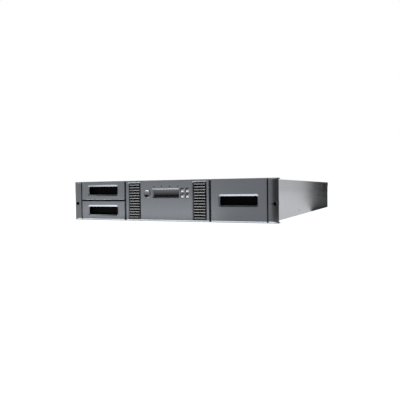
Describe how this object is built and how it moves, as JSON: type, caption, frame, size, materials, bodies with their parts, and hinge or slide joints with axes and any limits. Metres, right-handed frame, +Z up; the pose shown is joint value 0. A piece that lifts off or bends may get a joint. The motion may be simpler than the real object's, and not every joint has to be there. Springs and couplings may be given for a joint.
{
  "type": "data tape library",
  "caption": "Low rack-mount tape library with slide-out cartridge magazines, a mail slot, louvred operator panel, inner cartridge robot and rear drive sleds.",
  "frame": {"origin": "under the middle of the unit's length, width and depth, on the surface that it stands on", "axes": "+X to the right as seen from the front, +Y from the front to the rear, +Z up"},
  "size_m": [0.4826, 0.7816, 0.0876],
  "materials": {
    "case_metal": "plain zinc-coated sheet",
    "cover_metal": "plain zinc-coated sheet",
    "inner_metal": "plain zinc-coated sheet",
    "ear_steel": "black",
    "front_plastic": "fine moulded texture",
    "louvre_plastic": "silver satin",
    "black_plastic": "satin",
    "display_glass": "clear",
    "light_pipe": "clear lens",
    "key_plastic": "satin",
    "circuit_board": "solder mask",
    "magazine_plastic": "moulded",
    "nylon": "natural",
    "gear_plastic": "acetal",
    "motor_metal": "black",
    "bright_steel": "ground",
    "screw_metal": "nickel",
    "picker_plastic": "moulded",
    "gripper_metal": "bare",
    "drive_metal": "plain",
    "port_metal": "nickel shell"
  },
  "bodies": {
    "chassis": {"chassis_tray": "case_metal", "top_cover": "cover_metal", "rear_panel": "cover_metal", "front_support_plate": "inner_metal", "drive_bay_frame": "inner_metal", "magazine_runners": "nylon", "case_screws": "screw_metal", "rack_ears": "ear_steel", "ear_covers": "front_plastic", "front_bezel": "front_plastic", "grille_carriers": "black_plastic", "grille_louvres": "louvre_plastic", "lcd_window": "display_glass", "operator_board": "circuit_board", "status_lights": "light_pipe", "robot_rails": "bright_steel", "travel_rack": "gear_plastic", "power_supply": "inner_metal", "power_inlet": "black_plastic", "controller_board": "circuit_board", "controller_ports": "port_metal"},
    "left_magazine": {"left_magazine_front": "front_plastic", "left_handle_pocket": "black_plastic", "left_magazine_shell": "magazine_plastic", "left_magazine_shelves": "magazine_plastic"},
    "mail_slot": {"mail_slot_front": "front_plastic", "mail_slot_pocket": "black_plastic", "mail_slot_tray": "magazine_plastic"},
    "right_magazine": {"right_magazine_front": "front_plastic", "right_handle_pocket": "black_plastic", "right_magazine_shell": "magazine_plastic", "right_magazine_shelves": "magazine_plastic"},
    "power_button": {"power_button": "front_plastic"},
    "robot_carriage": {"carriage_pan": "inner_metal", "carriage_shoes": "nylon", "robot_motors": "motor_metal"},
    "travel_pinion": {"travel_pinion": "gear_plastic"},
    "turn_pinion": {"turn_pinion": "gear_plastic"},
    "turntable": {"turntable": "gear_plastic", "lift_frame": "bright_steel", "lift_motor": "motor_metal"},
    "lift_screw": {"lift_screw": "bright_steel"},
    "picker": {"picker_tray": "picker_plastic"},
    "gripper": {"gripper": "gripper_metal"},
    "power_supply_fan": {"power_supply_fan": "black_plastic"},
    "key_upper_left": {"key_upper_left": "key_plastic"},
    "key_upper_right": {"key_upper_right": "key_plastic"},
    "key_lower_left": {"key_lower_left": "key_plastic"},
    "key_lower_right": {"key_lower_right": "key_plastic"},
    "lower_drive": {"lower_drive_sled": "cover_metal", "lower_drive_unit": "drive_metal", "lower_drive_handle": "black_plastic", "lower_drive_thumbscrews": "screw_metal"},
    "lower_drive_fan": {"lower_drive_fan": "black_plastic"},
    "upper_drive": {"upper_drive_sled": "cover_metal", "upper_drive_unit": "drive_metal", "upper_drive_handle": "black_plastic", "upper_drive_thumbscrews": "screw_metal"},
    "upper_drive_fan": {"upper_drive_fan": "black_plastic"}
  },
  "joints": [
    {"name": "left_magazine_slide", "type": "slide", "parent": "chassis", "child": "left_magazine", "axis": [0, -1, 0], "range_m": [0, 0.42]},
    {"name": "mail_slot_slide", "type": "slide", "parent": "left_magazine", "child": "mail_slot", "axis": [0, -1, 0], "range_m": [0, 0.135]},
    {"name": "right_magazine_slide", "type": "slide", "parent": "chassis", "child": "right_magazine", "axis": [0, -1, 0], "range_m": [0, 0.42]},
    {"name": "power_button_press", "type": "slide", "parent": "chassis", "child": "power_button", "axis": [0, 1, 0], "range_m": [0, 0.0015], "stiffness_N_per_m": 400},
    {"name": "key_upper_left_press", "type": "slide", "parent": "chassis", "child": "key_upper_left", "axis": [0, 1, 0], "range_m": [0, 0.001], "stiffness_N_per_m": 500},
    {"name": "key_upper_right_press", "type": "slide", "parent": "chassis", "child": "key_upper_right", "axis": [0, 1, 0], "range_m": [0, 0.001], "stiffness_N_per_m": 500},
    {"name": "key_lower_left_press", "type": "slide", "parent": "chassis", "child": "key_lower_left", "axis": [0, 1, 0], "range_m": [0, 0.001], "stiffness_N_per_m": 500},
    {"name": "key_lower_right_press", "type": "slide", "parent": "chassis", "child": "key_lower_right", "axis": [0, 1, 0], "range_m": [0, 0.001], "stiffness_N_per_m": 500},
    {"name": "robot_travel", "type": "slide", "parent": "chassis", "child": "robot_carriage", "axis": [0, -1, 0], "range_m": [0, 0.318]},
    {"name": "travel_pinion_spin", "type": "hinge", "parent": "robot_carriage", "child": "travel_pinion", "pos_m": [0.078, -0.0392, 0.0016], "axis": [0, 0, 1], "range_deg": [-5, 1827]},
    {"name": "turntable_turn", "type": "hinge", "parent": "robot_carriage", "child": "turntable", "pos_m": [0, 0.0288, 0.004], "axis": [0, 0, 1], "range_deg": [-90, 90]},
    {"name": "turn_pinion_spin", "type": "hinge", "parent": "robot_carriage", "child": "turn_pinion", "pos_m": [-0.06788, 0.09668, 0.004], "axis": [0, 0, 1], "range_deg": [-395, 395]},
    {"name": "picker_lift", "type": "slide", "parent": "turntable", "child": "picker", "axis": [0, 0, 1], "range_m": [0, 0.05]},
    {"name": "lift_screw_spin", "type": "hinge", "parent": "turntable", "child": "lift_screw", "pos_m": [0.0652, 0.0288, 0.0058], "axis": [0, 0, 1], "range_deg": [-5, 1805]},
    {"name": "gripper_reach", "type": "slide", "parent": "picker", "child": "gripper", "axis": [0, 1, 0], "range_m": [0, 0.066]},
    {"name": "lower_drive_slide", "type": "slide", "parent": "chassis", "child": "lower_drive", "axis": [0, 1, 0], "range_m": [0, 0.19]},
    {"name": "lower_drive_fan_spin", "type": "hinge", "parent": "lower_drive", "child": "lower_drive_fan", "pos_m": [-0.042, 0.3708, 0.021], "axis": [0, 1, 0], "continuous": true},
    {"name": "upper_drive_slide", "type": "slide", "parent": "chassis", "child": "upper_drive", "axis": [0, 1, 0], "range_m": [0, 0.19]},
    {"name": "upper_drive_fan_spin", "type": "hinge", "parent": "upper_drive", "child": "upper_drive_fan", "pos_m": [-0.042, 0.3708, 0.0625], "axis": [0, 1, 0], "continuous": true},
    {"name": "power_supply_fan_spin", "type": "hinge", "parent": "chassis", "child": "power_supply_fan", "pos_m": [0.132, 0.3708, 0.044], "axis": [0, 1, 0], "continuous": true}
  ],
  "couplings": [
    {"joint": "travel_pinion_spin", "follows": "robot_travel", "rad_per_m": 100},
    {"joint": "turn_pinion_spin", "follows": "turntable_turn", "ratio": -4.3333},
    {"joint": "lift_screw_spin", "follows": "picker_lift", "rad_per_m": 628.32}
  ]
}
